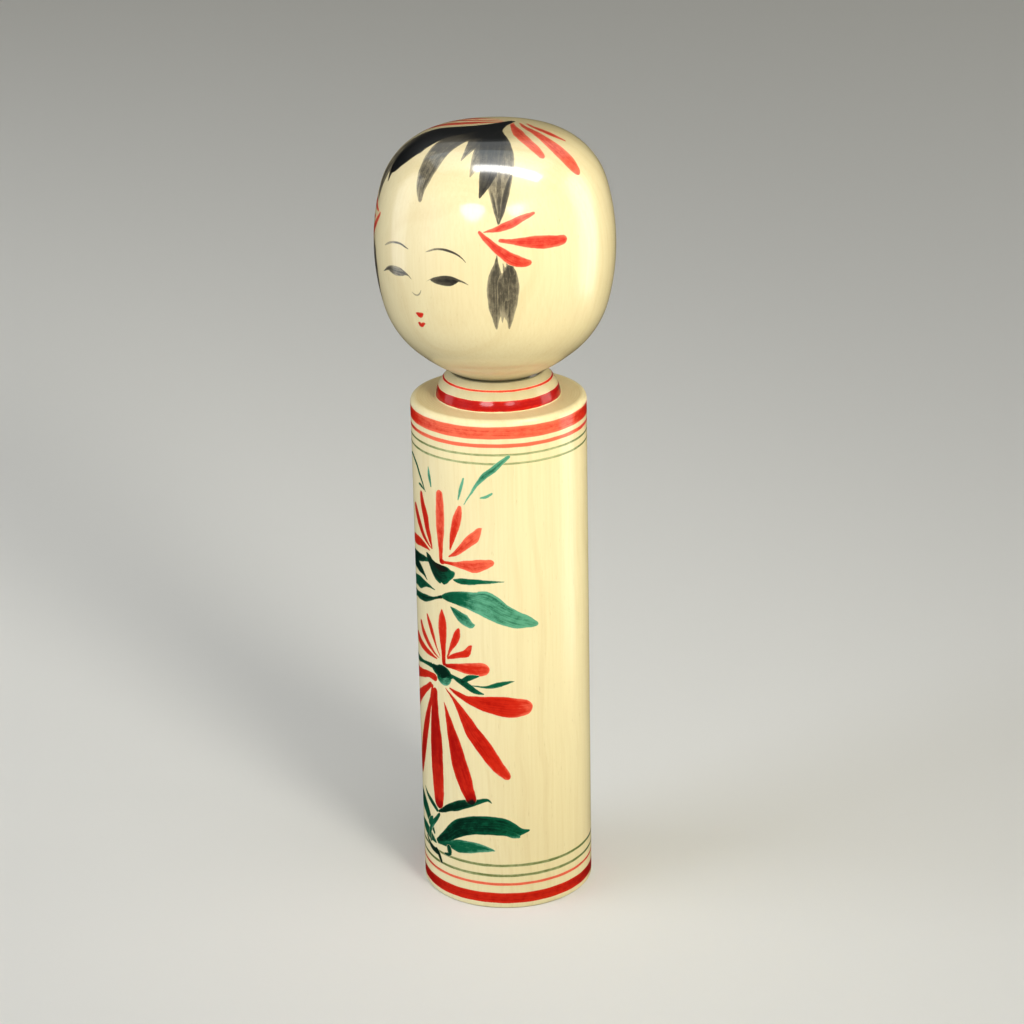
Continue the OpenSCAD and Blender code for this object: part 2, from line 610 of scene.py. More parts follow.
def wood_group(name, pith, lean, honey):
    """The colour and fine relief of one block of wood, laid out in the block itself, so that
    bare wood and the wood that shows through the paint agree. pith is where the tree's heart
    lies from the doll's axis, lean is how far it drifts in each millimetre of height, and honey
    is how far the whole block has yellowed."""
    tree = bpy.data.node_groups.new(name, "ShaderNodeTree")
    tree.interface.new_socket(name="Colour", in_out="OUTPUT", socket_type="NodeSocketColor")
    tree.interface.new_socket(name="Height", in_out="OUTPUT", socket_type="NodeSocketFloat")
    place = add_node(tree, "ShaderNodeTexCoord").outputs["Object"]
    place = stretched(tree, place, (1 / MM,) * 3)
    drift = noise(tree, place, DRIFT_SCALE, detail=1)
    parts = add_node(tree, "ShaderNodeSeparateXYZ", {0: place})
    tilt = maths(tree, "MULTIPLY", parts.outputs[2], lean)
    x = maths(tree, "ADD", maths(tree, "SUBTRACT", parts.outputs[0], pith[0]), tilt)
    y = maths(tree, "SUBTRACT", parts.outputs[1], pith[1])
    flat = add_node(tree, "ShaderNodeCombineXYZ", {0: x, 1: y})
    out = add_node(tree, "ShaderNodeVectorMath", {0: flat.outputs[0]}, operation="LENGTH")
    out = maths(tree, "MULTIPLY_ADD", drift, DRIFT, out.outputs["Value"])
    years = add_node(
        tree,
        "ShaderNodeTexNoise",
        {"W": out, "Scale": 1 / RING_PITCH, "Detail": 3.0, "Roughness": 0.6},
        noise_dimensions="1D",
    ).outputs[0]
    rings = ramped(tree, years, 0.42, 0.75)
    fibres = noise(tree, stretched(tree, place, FIBRES), 1, detail=4, roughness=0.65)
    clouds = noise(tree, stretched(tree, place, CLOUDS), 1)
    pores = noise(tree, stretched(tree, place, PORES), 1)
    tone = maths(tree, "MULTIPLY", rings, 0.18)
    tone = maths(tree, "MULTIPLY_ADD", ramped(tree, fibres, 0.35, 0.7), 0.16, tone)
    tone = maths(tree, "MULTIPLY_ADD", ramped(tree, clouds, 0.35, 0.65), 0.14, tone)
    tone = maths(tree, "ADD", tone, honey)
    colour = mixed(tree, tone, PALE_WOOD, HONEY_WOOD)
    specks = ramped(tree, pores, 0.66, 0.8, end=0.35)
    colour = mixed(tree, specks, colour, PORE_WOOD)
    height = maths(tree, "MULTIPLY_ADD", fibres, 0.7, maths(tree, "MULTIPLY", years, 0.3))
    height = maths(tree, "SUBTRACT", height, maths(tree, "MULTIPLY", specks, 0.8))
    add_node(tree, "NodeGroupOutput", {"Colour": colour, "Height": height})
    return tree


Finish = namedtuple("Finish", "wood rough shine coat coat_rough bump")

BODY_FINISH = Finish(wood_group("body grain", (31, 22), 0.05, 0), 0.45, 0.06, 0.50, 0.12, 0.10)
HEAD_FINISH = Finish(wood_group("head grain", (-24, 33), -0.08, 0.18), 0.38, 0.30, 0.80, 0.11, 0.05)
RELIEF = 0.1 * MM                   # depth of the wood's grain at full strength
BARE_BROWN = 0.25                   # how far bare wood has browned
BARE_ROUGH = 0.7


def surface(name, finish, build_colour):
    """A varnished surface. build_colour gets the node tree and the wood's colour, and returns
    the colour to show and the roughness."""
    material = bpy.data.materials.new(name)
    material.use_nodes = True
    tree = material.node_tree
    tree.nodes.clear()
    wood = add_node(tree, "ShaderNodeGroup", node_tree=finish.wood)
    colour, rough = build_colour(tree, wood.outputs["Colour"])
    bump = add_node(
        tree,
        "ShaderNodeBump",
        {"Strength": finish.bump, "Distance": RELIEF, "Height": wood.outputs["Height"]},
    )
    shader = add_node(
        tree,
        "ShaderNodeBsdfPrincipled",
        {
            "Base Color": colour,
            "Roughness": rough,
            "Specular IOR Level": finish.shine,
            "Normal": bump.outputs[0],
            "Coat Weight": finish.coat,
            "Coat Roughness": finish.coat_rough,
        },
    )
    add_node(tree, "ShaderNodeOutputMaterial", {"Surface": shader.outputs[0]})
    return material


def wood_material(name, finish):
    """Polished wood, duller and a little browner where it is marked as bare, and darkened with painted
    shade where that is marked.
    """

    def build_colour(tree, wood):
        bare, painted_shade, _ = marks_of(tree, "finish")
        browned_and_shaded = mixed(tree, maths(tree, "MULTIPLY", bare, BARE_BROWN), wood, HONEY_WOOD)
        # painted shade: darkens the neck seam, the head's underside and the collar's top
        browned_and_shaded = mixed(tree, painted_shade, browned_and_shaded, SEAM_SHADE_COLOUR)
        return browned_and_shaded, ramped(tree, bare, 0, 1, finish.rough, BARE_ROUGH)

    return surface(name, finish, build_colour)


SOFT_EDGE = 0.13                    # width over which a stroke's edge soaks into the wood

# How finely each kind of mark lies along a stroke, across it and from one stroke to the next
BRISTLES = (0.13, 3.2, 5.0)
HAIRS = (0.10, 2.4, 7.0)
BLOTS = (0.7, 0.9, 3.0)
GRIT = (5.0, 5.0, 3.0)


def dye_material(name, finish, colours):
    """Water dye on wood: thin in a light stroke and at every edge, full in a dark one and
    pooled in the darkest, with the bristles' marks along it."""
    thin, full, pooled = colours

    def build_colour(tree, wood):
        grain = add_node(tree, "ShaderNodeAttribute", attribute_name="grain").outputs["Vector"]
        rim, dark, dry = marks_of(tree, "paint")
        bristles = noise(tree, stretched(tree, grain, BRISTLES), 1, detail=3, roughness=0.6)
        hairs = noise(tree, stretched(tree, grain, HAIRS), 1, roughness=0.6)
        blots = noise(tree, stretched(tree, grain, BLOTS), 1)
        grit = noise(tree, stretched(tree, grain, GRIT), 1)
        depth = maths(tree, "ADD", dark, ramped(tree, rim, 0, 0.9, -0.18, 0.10))
        depth = varied(tree, depth, bristles, 0.7)
        depth = varied(tree, depth, blots, 0.6)
        depth = varied(tree, depth, grit, 0.3)
        dyed = mixed(tree, ramped(tree, depth, 0, 0.6), thin, full)
        dyed = mixed(tree, ramped(tree, depth, 0.6, 1.15), dyed, pooled)
        crossed = ramped(tree, depth, 1.5, 2.2)
        dyed = mixed(tree, crossed, dyed, CROSSED)
        cover = ramped(tree, varied(tree, rim, grit, 0.12), 0, SOFT_EDGE)
        gap = ramped(tree, maths(tree, "SUBTRACT", hairs, dry), -0.38, -0.12)
        cover = maths(tree, "MULTIPLY", cover, gap)
        cover = maths(tree, "MAXIMUM", cover, crossed)
        return mixed(tree, cover, wood, dyed), finish.rough

    return surface(name, finish, build_colour)


RED = ((0.82, 0.140, 0.068, 1), (0.58, 0.018, 0.005, 1), (0.36, 0.003, 0.001, 1))
GREEN = ((0.110, 0.36, 0.210, 1), (0.003, 0.095, 0.040, 1), (0.001, 0.016, 0.008, 1))
CROSSED = (0.012, 0.007, 0.005, 1)       # where red has run into green
OLIVE = ((0.42, 0.44, 0.20, 1), (0.130, 0.165, 0.040, 1), (0.020, 0.045, 0.012, 1))
BLACK = ((0.36, 0.30, 0.18, 1), (0.062, 0.052, 0.034, 1), (0.004, 0.004, 0.004, 1))

body_wood_material = wood_material("body wood", BODY_FINISH)
head_wood_material = wood_material("head wood", HEAD_FINISH)

body_red = Dye(dye_material("red dye on the body", BODY_FINISH, RED), "body", "red_dye")
body_green = Dye(dye_material("green dye on the body", BODY_FINISH, GREEN), "body", "green_dye")
body_olive = Dye(dye_material("thin green dye on the body", BODY_FINISH, OLIVE), "body", "green_dye")
head_red = Dye(dye_material("red dye on the head", HEAD_FINISH, RED), "head", "red_dye")
head_black = Dye(dye_material("ink on the head", HEAD_FINISH, BLACK), "head", "black_ink")

# ------------------------------
# Turned wood

TURNING_PITCH = 0.62                # spacing of the gouge's marks on the flat shoulder
TURNING_DEPTH = 0.012


def gouged(start, end, height):
    """A flat turned face between two radii, with the gouge's fine concentric marks."""
    count = math.ceil(abs(end - start) / TURNING_PITCH * 5)
    radii = [start + (end - start) * i / count for i in range(count + 1)]
    return [
        Vector((r, height - TURNING_DEPTH * (1 - math.cos(2 * math.pi * r / TURNING_PITCH))))
        for r in radii
    ]


def body_outline():
    foot = Vector((BODY_R - FOOT_ROUND, FOOT_ROUND))
    rim = Vector((BODY_R - SHOULDER_ROUND, SHOULDER - SHOULDER_ROUND))
    mouth = TENON_R + RUN_GAP + LEAD_IN
    socket = TENON_R + RUN_GAP
    groove_r = BEAD_ROUND + BEAD_GAP
    groove_a = math.acos((socket - BEAD.x) / groove_r)
    top = COLLAR_TOP - SKIN
    return [
        Vector((0, SKIN)),
        *arc(foot, FOOT_ROUND - SKIN, -math.pi / 2, 0, 0.1),
        *line((BODY_R - SKIN, FOOT_ROUND), (BODY_R - SKIN, SHOULDER - SHOULDER_ROUND))[1:-1],
        *arc(rim, SHOULDER_ROUND - SKIN, 0, math.pi / 2, 0.12)[:-1],
        *gouged(rim.x, COLLAR_R + 0.1, SHOULDER - SKIN),
        *arc(COLLAR, COLLAR_ROUND - SKIN, COLLAR_A0, COLLAR_A1, 0.2),
        Vector((mouth, top)),
        Vector((socket, top - LEAD_IN)),
        *arc(BEAD, groove_r, groove_a, -groove_a, 0.2),
        Vector((socket, SOCKET_END)),
        Vector((0, SOCKET_END)),
    ]


LEVEL = 0.2                         # what lies this near the shoulder's level is on its flat
COLLAR_BARE = 0.5                   # how far the collar has lost its polish
COLLAR_SHADE = 0.14                 # how much painted shade darkens its foot
COLLAR_SHADE_RISE = 0.05            # and how much more each millimetre above
SEAM_HIGH = 0.35                    # the painted shade in the seam is full up to here
UNDER_SHADE = 0.6                   # above the seam it goes on from this
UNDER_SHADE_FALL = 0.2              # and this much less each millimetre up


def body_mark(place):
    """The shoulder's flat ring is cut across the grain and never polished, and the collar is duller, with
    painted shade that deepens towards its top under the head."""
    above = place.y - SHOULDER
    if above > LEVEL:
        return (COLLAR_BARE, COLLAR_SHADE + COLLAR_SHADE_RISE * above)
    flat = above > -LEVEL and COLLAR_R < place.x < BODY_R - SHOULDER_ROUND - LEVEL
    return (1 if flat else 0, 0)


def head_shade_mark(place):
    """Painted shade: full on the short neck and in the seam above the collar, and thinning out up the
    head's underside."""
    above = place.y - NECK_LOW
    return (0, 1 if above < SEAM_HIGH else max(0, UNDER_SHADE - UNDER_SHADE_FALL * above))


def head_outline():
    bead_a = math.acos((TENON_R - BEAD.x) / BEAD_ROUND)
    return [
        Vector((0, TENON_END)),
        Vector((TENON_R - LEAD_IN, TENON_END)),
        Vector((TENON_R, TENON_END + LEAD_IN)),
        *arc(BEAD, BEAD_ROUND, -bead_a, bead_a, 0.2),
        Vector((TENON_R, NECK_LOW)),
        Vector((NECK_R - SKIN, NECK_LOW)),
        *arc(UNDER, UNDER_ROUND - SKIN, NECK_A, -UNDER_A)[:-1],
        *arc(JAW, JAW_ROUND - SKIN, -UNDER_A, -JAW_A)[:-1],
        *arc(CHEEK, CHEEK_ROUND - SKIN, -JAW_A, TEMPLE_A)[:-1],
        *arc(TEMPLE, TEMPLE_ROUND - SKIN, TEMPLE_A, CROWN_A)[:-1],
        *arc(CROWN, CROWN_ROUND - SKIN, CROWN_A, math.pi / 2, 0.8)[:-1],
        Vector((0, HEAD_TOP - SKIN)),
    ]


def turn_wood(name, outline, mark, material, body):
    made = revolve(name, outline, mark)
    made.data.materials.append(material)
    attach(made, body)
    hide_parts(body)


turn_wood("body_wood", body_outline(), body_mark, body_wood_material, "body")
turn_wood("head_wood", head_outline(), head_shade_mark, head_wood_material, "head")

# ------------------------------
# Rings, drawn with the brush held still while the wood turns

paint_rings("base_rings_red", on_barrel, BODY_R, body_red, (1.35, 4.1, 0.7), (5.95, 6.75, 0.2))
paint_rings("base_rings_green", on_barrel, BODY_R, body_olive, (8.2, 9, 0.5), (10.8, 11.6, 0.5))
paint_rings(
    "shoulder_rings_red", on_barrel, BODY_R, body_red, (116.3, 119.25, 0.1), (114.3, 115.3, 0.05)
)
paint_rings(
    "shoulder_rings_green", on_barrel, BODY_R, body_olive, (112.35, 113, 0.35), (110.3, 110.95, 0.3)
)
paint_rings("collar_rings", on_collar, COLLAR_R, body_red, (0.1, 2.6, 1), (4.5, 5.15, 0.5))

# ------------------------------
# The upper flower. Places are degrees round from the flower's middle, height and width.

# The petals on the camera's side are less dark towards their ends: this lighter dye is partly the dye's
# own and partly a painted sheen.
UPPER_PETALS = [
    stroke((1.5, 85.1, 1), (1.5, 90, 1.7), (1.5, 93.5, 2.6), (1.7, 98, 2.7), (1.8, 102.9, 2),
        dark=(0.6, 0.25, 0.2)),
    stroke((9.5, 89, 0.4), (11, 91.5, 1.4), (12.5, 93.3, 1.9), (14.2, 95.4, 2.3), (16, 97.6, 2.2),
        (18, 100.2, 0.9), dark=(0.7, 0.45, 0.2)),
    stroke((8, 87.3, 0.4), (15, 88.9, 1.5), (21, 91, 2.2), (26, 92.6, 2.7), (30, 93.9, 2.4),
        (32.8, 95.3, 1.9), dark=(0.6, 0.25, 0.1), skew=3),
    stroke((1, 85.7, 0.9), (8.5, 85.8, 0.9), (15, 85.9, 1.5), (21.5, 86, 2.6), (27, 86, 3.2),
        (32, 86.5, 2.8), (37, 87, 1.9), (40, 87.3, 1.4), dark=(0.9, 0.3, 0.15, 0.1)),
    stroke((0, 85.9, 1.2), (3, 85.7, 1.4), (5, 85.8, 0.6), dark=(1, 0.6)),
    stroke((-6.5, 87.9, 0.3), (-9.5, 90.5, 1.6), (-12, 92.8, 2.1), (-14, 95.5, 2.5), (-17, 97.8, 2.2),
        (-18.8, 100.8, 1.2), dark=(0.8, 0.75)),
    stroke((-7, 87.9, 0.3), (-12.5, 89, 1), (-19, 91, 1.8), (-24.5, 93.3, 2.4), (-29, 95.3, 2.3),
        (-31.5, 96.6, 1.6), dark=(0.8, 0.8)),
    stroke((-9, 87.3, 0.3), (-15, 87.8, 1.4), (-21.5, 88, 2.2), (-29, 87.7, 2.6), (-35, 87.4, 2.5),
        (-40, 87.2, 1.5), dark=(0.8, 0.6)),
]

SPRIGS = [
    stroke((-12.5, 101, 0.3), (-16, 102.8, 0.7), (-20, 104.6, 0.95), (-24, 106.2, 1.1), (-28, 107.1, 1.1),
        (-32, 107.7, 1), (-37, 107.8, 0.8), (-41, 107.4, 0.3), dark=(0.7, 0.8), dry=(0.1, 0.1)),
    stroke((-22, 102.2, 0.6), (-18, 102, 0.9), (-14, 101.4, 0.3), dark=(0.8, 0.8)),
    stroke((-6, 102.8, 0.5), (-7.7, 105.3, 1.1), (-8.5, 107.6, 0.4), dark=(0.5, 0.3), dry=(0.2, 0.4)),
    stroke((16.5, 101.4, 0.4), (18.8, 104.4, 0.85), (21, 107, 0.5), dark=(0.2, 0.1), dry=(0.4, 0.5)),
    stroke((20.5, 100.5, 0.25), (25.5, 103.3, 0.6), (29.5, 105.5, 0.9), (34.5, 107.6, 1.5),
        (41, 109.4, 1.6), (46, 111, 1.3), (51.5, 112.5, 0.8), dark=(0, 0.28, 0.22), dry=(0.5, 0.45),
        layer=1),
    stroke((31.5, 102.5, 0.4), (35.5, 102.8, 0.8), (40, 103.8, 0.6), dark=(0, 0.1), dry=(0.5, 0.4)),
]

UPPER_LEAVES = [
    stroke((-7, 85, 0.5), (-17, 84.5, 1.6), (-27, 83.8, 2.4), (-37, 83, 3), (-48, 81.8, 2.6),
        (-58, 80.6, 0.6), dark=(0.8, 1.1, 0.8)),
    stroke((-13.5, 79.6, 0.3), (-18, 80.6, 1.2), (-25, 81.4, 2.6), (-35, 81.6, 2.8), (-45, 80.6, 1.6),
        dark=(1, 1), layer=1),
    stroke((-5, 78.1, 0.3), (-15, 78.4, 1.4), (-25, 77.8, 3.2), (-35, 77.2, 2.6), (-48, 76, 3.4),
        (-60, 74, 2.5), (-67, 72.5, 0.6), dark=(0.9, 0.5)),
    stroke((11, 82, 0.4), (16.5, 82, 1.5), (21.5, 82.1, 1.6), (30.5, 82.4, 1.2), (38.5, 82.5, 0.75),
        (46.5, 82.6, 0.25), dark=(0.75, 0.45)),
    stroke((-13.5, 85.9, 0.5), (-9.5, 84.8, 2), (-4, 83.3, 3.7), (1, 82.5, 5), (6, 83, 4),
        (10, 83.3, 2.3), (12.8, 83.9, 0.6), dark=(1.1, 0.95, 0.6), layer=2),
    stroke((-14, 86.3, 0.7), (-10, 85.8, 0.9), (-7, 85.3, 0.4), dark=(1.1, 1.1), layer=3),
    stroke((-7, 84.7, 0.5), (-2, 84.3, 1.5), (3, 84, 1.6), (7.5, 84.1, 0.6), dark=(1.6, 1.9, 1.4),
        layer=3),
]

BIG_LEAF = [
    stroke((-66, 71, 0.8), (-56, 72, 3.2), (-45, 73, 2.6), (-35, 73.8, 1.8), (-25, 74.3, 2),
        (-16, 74.9, 1.9), (-6, 76, 0.8), (2, 77.2, 1), dark=(0.6, 1.1)),
    stroke((1, 77.1, 0.8), (6, 77.4, 2.2), (15, 77.7, 3.6), (21.5, 77.6, 4.3), (28, 77.3, 5.2),
        (34.5, 76.7, 5.8), (41, 75.4, 5.5), (47.5, 74.1, 4.8), (54, 73.1, 4.2), (61, 72.4, 3),
        (65.5, 71.8, 1.8), (68.5, 71.5, 0.8), dark=(0.9, 0.6, 0.1, 0.15, 0.1, 0.1), dry=(0, 0.12),
        layer=1),
    stroke((28, 79.6, 1), (35, 79.5, 1.4), (41, 78.3, 1.4), (47, 76.6, 1), (53, 75.2, 0.3),
        dark=(0.1, 0.1), layer=1),
    stroke((8.5, 75.3, 0.3), (12.5, 74.2, 1.8), (18, 72.9, 2.8), (23.5, 72.1, 2.8), (26.5, 71.9, 2.6),
        dark=(0.5, 0.4, 0.1), dry=(0, 0.5), layer=2, skew=-2.5),
]

paint("upper_flower", on_barrel, UPPER_PETALS, body_red, BODY_R)
paint("sprigs", on_barrel, SPRIGS, body_green, BODY_R)
paint("upper_leaves", on_barrel, UPPER_LEAVES, body_green, BODY_R)
paint("big_leaf", on_barrel, BIG_LEAF, body_green, BODY_R)

# ------------------------------
# The lower flower: small petals above its middle and long drooping ones below

LOWER_PETALS = [
    stroke((1.5, 60, 1.2), (1.2, 64, 1.6), (1, 67, 2.4), (1, 70, 2.8), (1, 72.3, 1.9), (0.9, 74, 0.4),
        dark=(1, 0.5, 0.5)),
    stroke((4.5, 62.2, 0.5), (7.5, 64.7, 1), (10.5, 66.5, 1.8), (13, 68.6, 1.9), (14.7, 70.4, 0.7)),
    stroke((4.5, 62, 0.4), (8.5, 62.9, 1.2), (15, 63.8, 1.6), (20.5, 64.7, 2), (24.3, 66.6, 1.6),
        dark=(0.7, 0.5), skew=2.5),
    stroke((2, 60.2, 0.9), (6, 60.4, 1.2), (12.5, 60.6, 1.9), (20.5, 60.7, 2.9), (27, 60.8, 3.5),
        (31.5, 61, 3.2), (35.5, 61.2, 2.3), dark=(1.3, 0.5, 0.4, 0.2)),
    stroke((-2, 62, 0.3), (-6.5, 64.7, 0.8), (-9.5, 67, 1.5), (-12.5, 69, 1.6), (-15.7, 71.2, 0.7)),
    stroke((-3, 61.5, 0.3), (-8.5, 62.4, 0.9), (-15, 64, 1.6), (-21.5, 65.8, 2), (-26.8, 68.3, 1.3)),
    stroke((-5, 61.1, 0.5), (-15, 61.6, 1.5), (-25, 62.2, 2.2), (-34, 63, 2.6), (-39.5, 63.4, 1.7)),
]

LONG_PETALS = [
    stroke((5.5, 54.9, 0.5), (12.5, 53.9, 1.4), (19, 53.1, 1.9), (25.5, 52.7, 3), (33.5, 52.3, 4.1),
        (41, 52, 4.9), (47.5, 51.6, 5.2), (54, 51.4, 4.7), (59.5, 51.4, 3.9), (63.5, 51.5, 3),
        dark=(0.95, 0.7, 0.7, 0.2)),
    stroke((2, 54.6, 0.3), (9.5, 52.1, 1.15), (14, 50, 2.1), (18.5, 47.5, 3.1), (22.5, 45, 3.8),
        (28, 42.5, 4), (33, 40, 3.8), (38.5, 37.1, 3.3), (43.5, 35, 2.5), (47, 33.5, 1.6),
        dark=(0.6, 0.8, 0.75, 0.4)),
    stroke((0.5, 50.9, 0.25), (3.5, 47.5, 1.6), (5.5, 45, 2.45), (7.5, 42.5, 3.3), (9.5, 40, 3.9),
        (11, 37.5, 4.3), (13, 35, 4.5), (15, 33, 4.4), (17, 30.7, 3.9), (19.5, 28.5, 3.2),
        (21, 26.4, 2.6), dark=(0.5, 0.7, 0.8, 0.9, 0.9, 0.9, 0.9, 0.8, 0.8, 0.8, 2.6), layer=2),
    stroke((-8, 53.5, 1.6), (-9, 50, 2.4), (-9.5, 45, 3.6), (-9, 40, 4.7), (-9, 35, 4.8), (-8.5, 30, 4.5),
        (-8, 26.2, 4), (-8, 22.6, 2.8), dark=(0.8, 0.9, 1, 1, 1, 1, 1, 0.9, 0.8, 0.7, 0.6, 0.6, 1.9),
        layer=2),
    stroke((-11, 54, 0.8), (-13.5, 50, 1.4), (-16.5, 47.5, 1.7), (-19, 45, 2.4), (-24.5, 40, 3.2),
        (-30, 35, 3.8), (-35, 30.7, 3.4), (-38.5, 27.8, 2.2), dark=(0.8, 0.9)),
    stroke((-12, 54.1, 1.4), (-17.5, 52.5, 1.6), (-25, 50.5, 2.2), (-32, 48.7, 2.8), (-38, 47.2, 3.4),
        (-47, 45, 3.9), (-55, 43.2, 3.2), (-60, 42.2, 2), dark=(0.7, 0.5)),
    stroke((-5.5, 56, 2.2), (-15, 56, 1.8), (-25, 55, 2.2), (-35, 54, 2.7), (-47, 52.9, 4.2),
        (-58, 52, 4.4), (-66, 51.6, 2.8), dark=(0.7, 0.5)),
]

MIDDLE_LEAVES = [
    stroke((-52, 57, 0.3), (-44, 57.2, 1.5), (-35, 57.5, 1.8), (-23, 58.2, 1), (-10, 58.8, 1.5),
        dark=(0.6, 1)),
    stroke((7, 58.2, 0.8), (15, 57.2, 1.6), (20.5, 56.3, 1.8), (25.5, 55.3, 1.4), (31.5, 54.8, 0.4),
        dark=(0.9, 0.7), layer=1),
    stroke((15, 57.2, 0.9), (21.5, 58.5, 1.5), (28.5, 59.3, 0.4), dark=(0.9, 0.7), layer=1),
    stroke((23, 56.7, 0.3), (32, 56.6, 0.7), (40, 57.2, 1.4), (45, 57.7, 1.1), (51.7, 58.1, 0.25),
        dark=(0.8, 0.55), layer=1),
    stroke((-11.5, 58.8, 1.3), (-5, 58.2, 2.8), (-1, 58.4, 3.4), (3.5, 58.4, 2.6), (6.5, 57.9, 1.6),
        (8.7, 57.4, 0.5), dark=(0.9, 1.1, 0.9), layer=2),
    stroke((-5.5, 57.2, 1.4), (-2, 56.6, 2.6), (2, 56.4, 2.8), (5, 56.8, 2), (7.5, 57.4, 0.8),
        dark=(0.6, 0.2, 0.4), layer=1),
]

paint("lower_flower", on_barrel, LOWER_PETALS, body_red, BODY_R)
paint("drooping_petals", on_barrel, LONG_PETALS, body_red, BODY_R)
paint("middle_leaves", on_barrel, MIDDLE_LEAVES, body_green, BODY_R)

# ------------------------------
# Leaves and stems at the foot

BOTTOM_LEAVES = [
    stroke((-9, 21.6, 0.5), (-4.5, 22.5, 1.3), (2, 23.9, 1.9), (8.5, 25, 2.5), (15, 26.1, 2.4),
        (21.5, 26.8, 1.8), (28, 27.7, 1.2), (32, 28, 0.9), (35, 27.3, 0.3), dark=(1.15, 1, 0.8)),
    stroke((-9, 21.6, 1.2), (-17.5, 23.2, 1.6), (-24, 24.1, 1.3), (-29, 25.5, 0.4), dark=(0.9, 0.8)),
    stroke((-12, 13.6, 1), (-4.5, 15.3, 2.4), (2, 17.1, 3.4), (7.5, 18.8, 4.2), (12.5, 19.9, 4.6),
        (19, 20.8, 4.7), (25.5, 21.3, 4.9), (34.5, 21.5, 4.9), (41, 21.3, 4.7), (46.5, 20.7, 4),
        (51.5, 20, 2.8), (55.5, 19.9, 1.6), (60, 20.1, 0.5), dark=(1, 0.95, 0.85, 0.65), dry=(0, 0.1)),
    stroke((44, 19.8, 1.6), (49, 19, 1.6), (53.5, 18.5, 0.7), dark=(0.6, 0.5), layer=1),
    stroke((-11, 13.3, 0.6), (2, 14.3, 1.8), (8.5, 14.7, 3.4), (15, 15, 3.4), (21.5, 15.3, 2.9),
        (28, 15.4, 2.1), (33.5, 15.2, 1), (36.5, 15, 0.3), dark=(0.8, 0.5, 0.3), layer=1),
    stroke((-14, 15, 0.8), (-21, 18, 2.6), (-30, 20.5, 4.2), (-40, 21.3, 4.8), (-50, 20.6, 3.8),
        (-58, 20, 0.8), dark=(0.8, 0.7)),
    stroke((-12, 13, 0.6), (-20, 13.8, 2.4), (-28, 14.6, 3.2), (-38, 15, 1.8), (-44, 14.8, 0.3),
        dark=(0.8, 0.6), layer=1),
]

STEMS = [
    stroke((-7, 21.4, 0.8), (-12, 19.2, 1.3), (-17.5, 17, 1.4), (-21, 14.6, 1.3), (-20, 12.2, 1),
        dark=(1, 0.5, 0.9)),
    stroke((-13.5, 11.6, 0.9), (-10, 10.6, 1.3), (-8, 9.4, 1.2), (-6, 8.3, 0.8), dark=(1.2, 1.2)),
    stroke((-28, 12.8, 0.8), (-20, 11.1, 1.5), (-13, 10.7, 1.5), (-9, 10.4, 0.8), dark=(1, 1.2)),
    stroke((0.5, 14.2, 1.4), (1.5, 12.9, 1.6), (1.5, 11.8, 1.2), (-4, 11.3, 0.7), dark=(0.9, 1.1)),
    stroke((-16, 19.4, 0.5), (-19, 18, 1.8), (-23, 16.5, 1.4), dark=(0.6, 0.8)),
]

paint("bottom_leaves", on_barrel, BOTTOM_LEAVES, body_green, BODY_R)
paint("stems", on_barrel, raised(STEMS), body_green, BODY_R)

# ------------------------------
# The face. Places are degrees round from its middle line, height and width.

EYEBROWS = [
    stroke((6, 159.9, 0.25), (8.5, 160.4, 0.5), (11, 160.8, 0.55), (14, 160.95, 0.6), (17, 160.85, 0.68),
        (20, 160.5, 0.62), (22.5, 160, 0.52), (24.5, 159.4, 0.4), (26.5, 158.4, 0.2),
        dark=(0.3, 0.7, 0.9)),
    stroke((-23.5, 158.9, 0.35), (-20.5, 159.6, 0.6), (-18, 160.05, 0.6), (-15, 160.4, 0.6),
        (-12, 160.55, 0.6), (-9, 160.45, 0.55), (-6.8, 160.15, 0.5), (-4.3, 159.8, 0.25),
        dark=(0.1, 0.5, 0.9)),
]

EYES = [
    stroke((8.2, 154, 0.4), (10.5, 154, 1.35), (13.5, 153.95, 1.95), (16.5, 154, 2.2), (19.5, 154.1, 1.9),
        (21.7, 154.3, 1.1), (23, 154.5, 0.4), dark=(0.5, 0.7, 0.9)),
    stroke((6, 153.4, 0.12), (9, 154.2, 0.3), (12.5, 154.8, 0.4), (16, 155.1, 0.45), (19.5, 155, 0.6),
        (22.5, 154.5, 0.6), (25, 154.1, 0.5), (27.5, 153.5, 0.25), dark=(0.2, 0.8, 0.5), layer=1),
    stroke((-21.5, 154, 0.4), (-18.5, 154.1, 1.5), (-14, 154.1, 2.15), (-10, 154.15, 1.8), (-7, 154.2, 1),
        (-4.5, 153.9, 0.3), dark=(0.6, 0.35, 0.6)),
    stroke((-26, 152.7, 0.2), (-23, 153.5, 0.6), (-20, 154.2, 0.9), (-16.5, 154.9, 0.6),
        (-13, 155.1, 0.45), (-9.5, 155, 0.4), (-6, 154.3, 0.5), (-2.5, 153.2, 0.2), dark=(0.7, 0.3, 0.7),
        layer=1),
]

NOSE = [
    stroke((-3.2, 150.4, 0.2), (-1.8, 149.95, 0.45), (-0.4, 149.8, 0.5), (0.9, 150, 0.45),
        (2, 150.5, 0.4), (2.8, 151.3, 0.2), dark=(0, 0.3)),
]

LIPS = [
    stroke((-2.7, 145.5, 0.3), (-1.4, 145.35, 1.1), (-0.2, 145.15, 1.4), (1.1, 145.4, 1.1),
        (2.3, 145.7, 0.4), dark=(0.7, 0.5)),
    stroke((-2.5, 143.2, 0.3), (-1.5, 143, 1.2), (-0.4, 142.7, 1.1), (1, 143.1, 0.9), (2.4, 143.4, 0.4),
        dark=(0.9, 0.4)),
]

